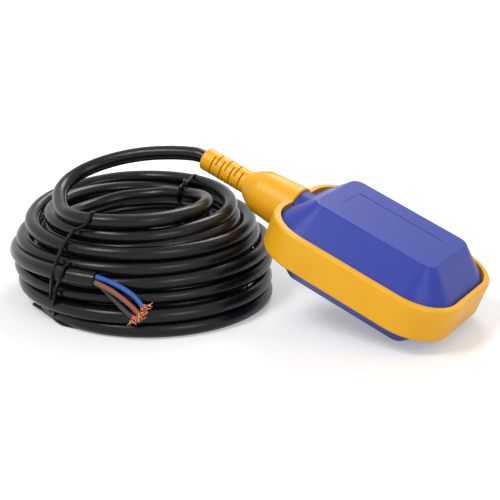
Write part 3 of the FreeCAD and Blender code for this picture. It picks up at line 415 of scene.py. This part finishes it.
def make_materials():
    """One material for each of the record's slots."""
    made = {}
    made["yellow_plastic"] = moulded("yellow_plastic", srgb(243, 178, 20), srgb(230, 158, 14), 0.40)

    blue = moulded(
        "blue_plastic",
        srgb(44, 60, 158),
        srgb(38, 52, 145),
        0.40,
        grain=1800.0,
        depth=0.00003,
        specular=0.3,
        uneven=0.02,
    )
    specks = blue.noise(1400.0, 1.0)
    blue.tint(blue.steps(specks, 0.77, 0.81, 0.0, 0.4), srgb(150, 158, 215))
    scuffs = blue.noise(420.0, 6.0, stretch=(1.0, 4.0, 1.0))
    blue.tint(blue.steps(scuffs, 0.66, 0.80, 0.0, 0.3), srgb(70, 92, 184))
    made["blue_plastic"] = blue

    seal = Material("seal_rubber", srgb(30, 30, 34), 0.7)
    seal.bump(seal.noise(3000.0), 0.3, 0.00002)
    made["seal_rubber"] = seal

    made["white_plastic"] = moulded("white_plastic", srgb(228, 226, 218), srgb(212, 209, 198), 0.45)

    screw = Material("screw_steel", srgb(186, 188, 190), 0.30, metallic=1.0)
    screw.rough(screw.noise(900.0), 0.22, 0.4)
    screw.bump(screw.noise(4000.0), 0.2, 0.00001)
    made["screw_steel"] = screw

    ball = Material("ball_steel", srgb(200, 202, 205), 0.12, metallic=1.0)
    ball.rough(ball.noise(400.0), 0.08, 0.2)
    made["ball_steel"] = ball

    made["switch_plastic"] = moulded("switch_plastic", srgb(34, 34, 36), srgb(46, 45, 44), 0.5)

    spring = Material("spring_steel", srgb(180, 180, 176), 0.28, metallic=1.0)
    spring.bump(spring.noise(500.0, 3.0, stretch=(1.0, 8.0, 8.0)), 0.3, 0.00001)
    made["spring_steel"] = spring

    made["plunger_plastic"] = moulded("plunger_plastic", srgb(176, 42, 34), srgb(150, 32, 26), 0.4)

    brass = Material("contact_brass", srgb(205, 165, 90), 0.3, metallic=1.0)
    brass.tint(brass.steps(brass.noise(700.0), 0.45, 0.75, 0.0, 0.5), srgb(165, 120, 60))
    brass.bump(brass.noise(3000.0), 0.2, 0.00001)
    made["contact_brass"] = brass

    resin = Material("resin", srgb(58, 48, 36), 0.25)
    resin.tint(resin.steps(resin.noise(180.0), 0.4, 0.7, 0.0, 0.6), srgb(84, 68, 46))
    resin.bump(resin.noise(260.0), 0.3, 0.00005)
    made["resin"] = resin

    jacket = Material("black_jacket", srgb(10, 10, 12), 0.27, specular=0.27)
    jacket.tint(jacket.steps(jacket.noise(160.0), 0.4, 0.75, 0.0, 0.4), srgb(15, 15, 16))
    jacket.rough(jacket.noise(420.0), 0.22, 0.32)
    jacket.bump(jacket.noise(150.0, 1.0), 0.3, 0.00006)
    made["black_jacket"] = jacket

    tie = Material("tie_plastic", srgb(8, 8, 9), 0.42, specular=0.14)
    tie.rough(tie.noise(900.0), 0.28, 0.45)
    tie.bump(tie.noise(1200.0, 2.0), 0.3, 0.00003)
    made["tie_plastic"] = tie

    for name, colour, shade in (
        ("blue_insulation", srgb(44, 94, 178), srgb(32, 74, 156)),
        ("brown_insulation", srgb(140, 84, 66), srgb(116, 64, 48)),
        ("black_insulation", srgb(44, 45, 48), srgb(32, 33, 35)),
    ):
        core = Material(name, colour, 0.36)
        core.tint(core.steps(core.noise(500.0), 0.4, 0.7, 0.0, 0.5), shade)
        core.bump(core.noise(900.0, 2.0), 0.25, 0.00003)
        made[name] = core

    copper = Material("copper", srgb(238, 162, 122), 0.26, metallic=1.0)
    copper.tint(copper.steps(copper.noise(1500.0), 0.5, 0.75, 0.0, 0.5), srgb(206, 122, 84))
    made["copper"] = copper
    return {name: m.material for name, m in made.items()}


def dress(obj, slot_name, materials):
    """Gives a new piece the material of the named slot."""
    obj.data.materials.clear()
    obj.data.materials.append(materials[slot_name])
    return obj


def make_cord(materials):
    """The whole free cable as one spline, from the boot to the end of its jacket."""
    cord = curve("cable", [LEAD + coil_points() + TAIL], CABLE_RADIUS)
    dress(cord, "black_jacket", materials)
    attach(cord, "root")
    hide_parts("cable_lead", "cable_coil", "cable_tail")
    return cord


def make_ties(materials):
    """The two ties round the coil, and the ends of each."""
    made = []
    for name, splines, cyclic, node in (
        ("tie_front_loop", [FRONT_TIE], True, "tie_front"),
        ("tie_front_leg", [FRONT_TIE_LEG, FRONT_TIE_END_LEFT, FRONT_TIE_END_RIGHT], False, None),
        ("tie_back_loop", [BACK_TIE], True, "tie_back"),
        ("tie_back_end", [BACK_TIE_END], False, None),
    ):
        obj = curve(name, splines, TIE_RADIUS, resolution=6, sides=2, cyclic=cyclic)
        dress(obj, "tie_plastic", materials)
        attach(obj, "root")
        if node:
            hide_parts(node)
        made.append(obj)
    return made


def make_cores(materials):
    """The three insulated cores out of the jacket's end, each with its frayed copper."""
    made = []
    for colour, points in CORES.items():
        core = curve("wire_" + colour, [points], CORE_RADIUS, resolution=10, sides=3)
        dress(core, colour + "_insulation", materials)
        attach(core, "root")
        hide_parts("core_" + colour)
        made.append(core)
        end = Vector(points[-1])
        way = (end - Vector(points[-2])).normalized()
        tuft = curve("copper_" + colour, fray(end, way, colour), STRAND_RADIUS, resolution=3, sides=0)
        dress(tuft, "copper", materials)
        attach(tuft, "root")
        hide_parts("strands_" + colour)
        made.append(tuft)
    return made


def fray(end, way, seed):
    """Bare copper strands, in millimetres: they leave the core together, then fan out and curl."""
    rng = random.Random(seed)
    side = way.cross(Vector((0, 0, 1))).normalized()
    up = side.cross(way).normalized()
    strands = []
    for _ in range(STRAND_COUNT):
        turn = rng.uniform(0, 2 * math.pi)
        off = BUNDLE_RADIUS * math.sqrt(rng.random())
        point = end - way * START_INSIDE + side * off * math.cos(turn) + up * off * math.sin(turn)
        spread = side * rng.uniform(-0.9, 0.9) + up * rng.uniform(-0.6, 0.7)
        heading = (way + spread).normalized()
        bend = side * rng.uniform(-0.5, 0.5) + up * rng.uniform(-0.5, 0.5)
        step = rng.uniform(0.5, 0.75)
        curl = rng.uniform(0.15, 0.5)
        phase = rng.uniform(0, 2 * math.pi)
        points = [tuple(point)]
        for k in range(STRAND_STEPS):
            heading = (heading + bend * k / BEND_STEPS).normalized()
            around = phase + CURL_ANGLE * k
            wave = side * math.cos(around) + up * math.sin(around)
            point = point + heading * step + wave * curl * k / CURL_STEPS
            points.append(tuple(point))
        strands.append(points)
    return strands


def dress_nodes(materials):
    """Every CAD node takes the procedural material of its slot."""
    for part in frame["record"]["subparts"]:
        for slot in nodes[part["node"]].material_slots:
            slot.material = materials[part["material_slot"]]


def make_camera():
    """The camera at the photograph's place."""
    data = bpy.data.cameras.new("camera")
    data.lens = CAMERA_LENS
    data.sensor_width = 36.0
    data.clip_start = 0.05
    data.clip_end = 20.0
    obj = bpy.data.objects.new("camera", data)
    right = Vector(CAMERA_RIGHT).normalized()
    back = Vector(CAMERA_BACK).normalized()
    up = back.cross(right).normalized()
    right = up.cross(back).normalized()
    turn = Matrix((right, up, back)).transposed().to_4x4()
    obj.matrix_world = Matrix.Translation(CAMERA_PLACE) @ turn
    bpy.context.scene.collection.objects.link(obj)
    bpy.context.scene.camera = obj


def make_lamp(name, place, size, power):
    """A soft square lamp that faces the object."""
    data = bpy.data.lights.new(name, "AREA")
    data.shape = "SQUARE"
    data.size = size
    data.energy = power
    obj = bpy.data.objects.new(name, data)
    obj.location = place
    obj.rotation_euler = (Vector(LAMPS_FACE) - Vector(place)).to_track_quat("-Z", "Y").to_euler()
    bpy.context.scene.collection.objects.link(obj)


def seen_directly(tree):
    """1 for camera, mirror and see-through rays, and 0 for the light that reaches surfaces."""
    path = tree.nodes.new("ShaderNodeLightPath")
    value = path.outputs["Is Camera Ray"]
    for other in ("Is Glossy Ray", "Is Transmission Ray"):
        node = tree.nodes.new("ShaderNodeMath")
        node.operation = "MAXIMUM"
        tree.links.new(value, node.inputs[0])
        tree.links.new(path.outputs[other], node.inputs[1])
        value = node.outputs[0]
    return value


def make_background():
    """A world that lights evenly and is seen as white."""
    scene = bpy.context.scene
    scene.view_settings.view_transform = "Standard"
    world = bpy.data.worlds.new("studio")
    scene.world = world
    world.use_nodes = True
    tree = world.node_tree
    light = tree.nodes["Background"]
    light.inputs["Color"].default_value = WHITE
    light.inputs["Strength"].default_value = SKY_LIGHT
    backdrop = tree.nodes.new("ShaderNodeBackground")
    backdrop.inputs["Color"].default_value = WHITE
    backdrop.inputs["Strength"].default_value = 1.0
    mix = tree.nodes.new("ShaderNodeMixShader")
    tree.links.new(seen_directly(tree), mix.inputs[0])
    tree.links.new(light.outputs[0], mix.inputs[1])
    tree.links.new(backdrop.outputs[0], mix.inputs[2])
    tree.links.new(mix.outputs[0], tree.nodes["World Output"].inputs["Surface"])


def make_floor():
    """A pale floor that takes the object's shadow and turns white away from it."""
    mesh = bpy.data.meshes.new("floor")
    corners = [(-1, -1), (1, -1), (1, 1), (-1, 1)]
    mesh.from_pydata([(x * FLOOR_HALF, y * FLOOR_HALF, 0) for x, y in corners], [], [(0, 1, 2, 3)])
    floor = bpy.data.objects.new("floor", mesh)
    bpy.context.scene.collection.objects.link(floor)
    material = bpy.data.materials.new("floor_white")
    material.use_nodes = True
    tree = material.node_tree
    shader = tree.nodes["Principled BSDF"]
    shader.inputs["Base Color"].default_value = FLOOR_COLOUR
    shader.inputs["Roughness"].default_value = 0.9
    place = tree.nodes.new("ShaderNodeTexCoord")
    away = tree.nodes.new("ShaderNodeVectorMath")
    away.operation = "LENGTH"
    tree.links.new(place.outputs["Object"], away.inputs[0])
    rise = tree.nodes.new("ShaderNodeMapRange")
    rise.inputs["From Min"].default_value = GLOW_FROM
    rise.inputs["From Max"].default_value = GLOW_FULL_FROM
    rise.inputs["To Min"].default_value = GLOW_NEAR
    rise.inputs["To Max"].default_value = 1.0
    tree.links.new(away.outputs["Value"], rise.inputs["Value"])
    strength = tree.nodes.new("ShaderNodeMath")
    strength.operation = "MULTIPLY"
    tree.links.new(rise.outputs["Result"], strength.inputs[0])
    tree.links.new(seen_directly(tree), strength.inputs[1])
    glow = tree.nodes.new("ShaderNodeEmission")
    tree.links.new(strength.outputs[0], glow.inputs["Strength"])
    both = tree.nodes.new("ShaderNodeAddShader")
    tree.links.new(shader.outputs[0], both.inputs[0])
    tree.links.new(glow.outputs[0], both.inputs[1])
    tree.links.new(both.outputs[0], tree.nodes["Material Output"].inputs["Surface"])
    mesh.materials.append(material)


make_camera()
materials = make_materials()
dress_nodes(materials)
cord = make_cord(materials)
pieces = make_ties(materials) + make_cores(materials)
make_background()
make_floor()
for lamp in LAMPS:
    make_lamp(*lamp)
